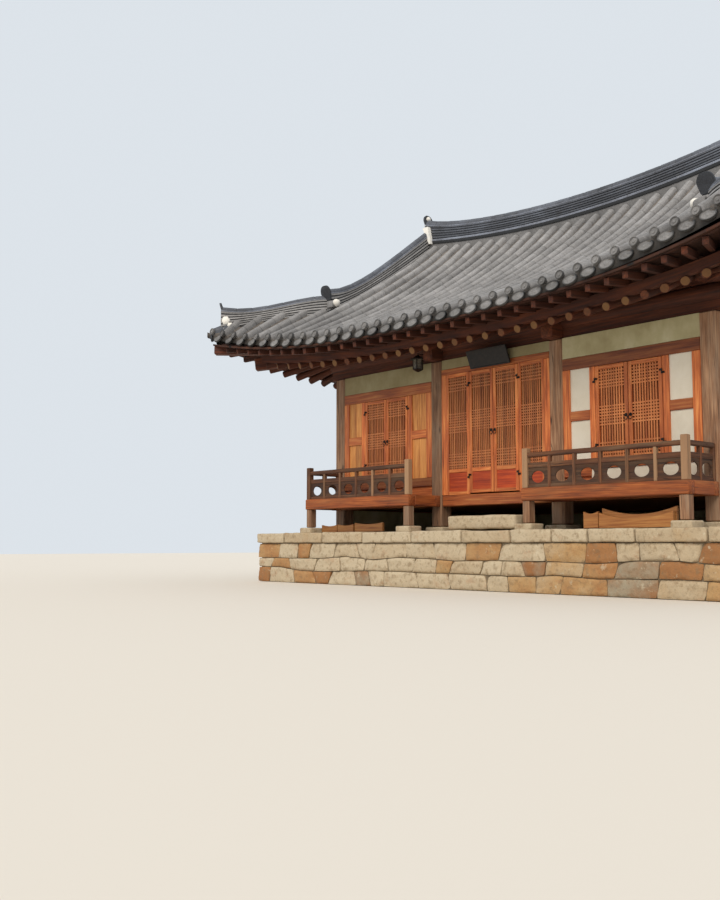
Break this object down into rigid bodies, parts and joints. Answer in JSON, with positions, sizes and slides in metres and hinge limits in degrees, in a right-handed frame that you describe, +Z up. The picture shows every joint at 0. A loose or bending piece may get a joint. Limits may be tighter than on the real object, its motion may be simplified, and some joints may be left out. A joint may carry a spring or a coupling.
{
  "type": "hanok house",
  "caption": "Korean timber house with a curved hip-and-gable tiled roof, lattice doors that open, railed decks in front of its side bays and a stone platform below.",
  "frame": {"origin": "on the ground, under the middle of the plan", "axes": "+Z up, +X to the right along the front as seen from outside, -Y out of the front"},
  "size_m": [10.7972, 8.3978, 7.2411],
  "materials": {
    "stone": "rough split granite and rubble with lime mortar",
    "old_timber": "weathered grey-brown pine",
    "joinery": "oiled orange-brown pine",
    "roof_timber": "dark red-brown stained pine",
    "plaster": "matt lime plaster",
    "tile": "unglazed grey fired clay with lime",
    "board": "black lacquer"
  },
  "bodies": {
    "house": {"stone_platform": "stone", "step_stone": "stone", "front_column_1": "old_timber", "front_column_2": "old_timber", "front_column_3": "old_timber", "front_column_4": "old_timber", "back_left_column": "old_timber", "back_right_column": "old_timber", "roof_frame": "roof_timber", "room_floor": "joinery", "left_deck": "joinery", "right_deck": "joinery", "left_railing": "old_timber", "right_railing": "old_timber", "left_bay_frame": "joinery", "right_bay_frame": "joinery", "centre_bay_frame": "joinery", "left_bay_infill": "joinery", "right_bay_infill": "plaster", "back_wall": "plaster", "left_wall": "plaster", "right_wall": "plaster", "front_eaves": "roof_timber", "back_eaves": "roof_timber", "left_eaves": "roof_timber", "right_eaves": "roof_timber", "front_roof_slope": "tile", "back_roof_slope": "tile", "left_roof_slope": "tile", "right_roof_slope": "tile", "left_gable": "roof_timber", "right_gable": "roof_timber", "main_ridge": "tile", "front_left_ridge": "tile", "front_right_ridge": "tile", "back_left_ridge": "tile", "back_right_ridge": "tile", "name_board": "board"},
    "left_leaf_1": {"left_bay_door_1": "joinery"},
    "left_leaf_2": {"left_bay_door_2": "joinery"},
    "centre_leaf_1": {"centre_bay_door_1": "joinery"},
    "centre_leaf_2": {"centre_bay_door_2": "joinery"},
    "right_leaf_1": {"right_bay_door_1": "joinery"},
    "right_leaf_2": {"right_bay_door_2": "joinery"}
  },
  "joints": [
    {"name": "left_leaf_1_hinge", "type": "hinge", "parent": "house", "child": "left_leaf_1", "pos_m": [-2.927, -2.519, 2.425], "axis": [0, 0, -1], "range_deg": [0, 150]},
    {"name": "left_leaf_2_hinge", "type": "hinge", "parent": "house", "child": "left_leaf_2", "pos_m": [-1.873, -2.519, 2.425], "axis": [0, 0, 1], "range_deg": [0, 150]},
    {"name": "centre_leaf_1_hinge", "type": "hinge", "parent": "house", "child": "centre_leaf_1", "pos_m": [-0.4925, -2.519, 2.39], "axis": [0, 0, -1], "range_deg": [0, 150]},
    {"name": "centre_leaf_2_hinge", "type": "hinge", "parent": "house", "child": "centre_leaf_2", "pos_m": [0.4925, -2.519, 2.39], "axis": [0, 0, 1], "range_deg": [0, 150]},
    {"name": "right_leaf_1_hinge", "type": "hinge", "parent": "house", "child": "right_leaf_1", "pos_m": [1.873, -2.519, 2.425], "axis": [0, 0, -1], "range_deg": [0, 150]},
    {"name": "right_leaf_2_hinge", "type": "hinge", "parent": "house", "child": "right_leaf_2", "pos_m": [2.927, -2.519, 2.425], "axis": [0, 0, 1], "range_deg": [0, 150]}
  ]
}
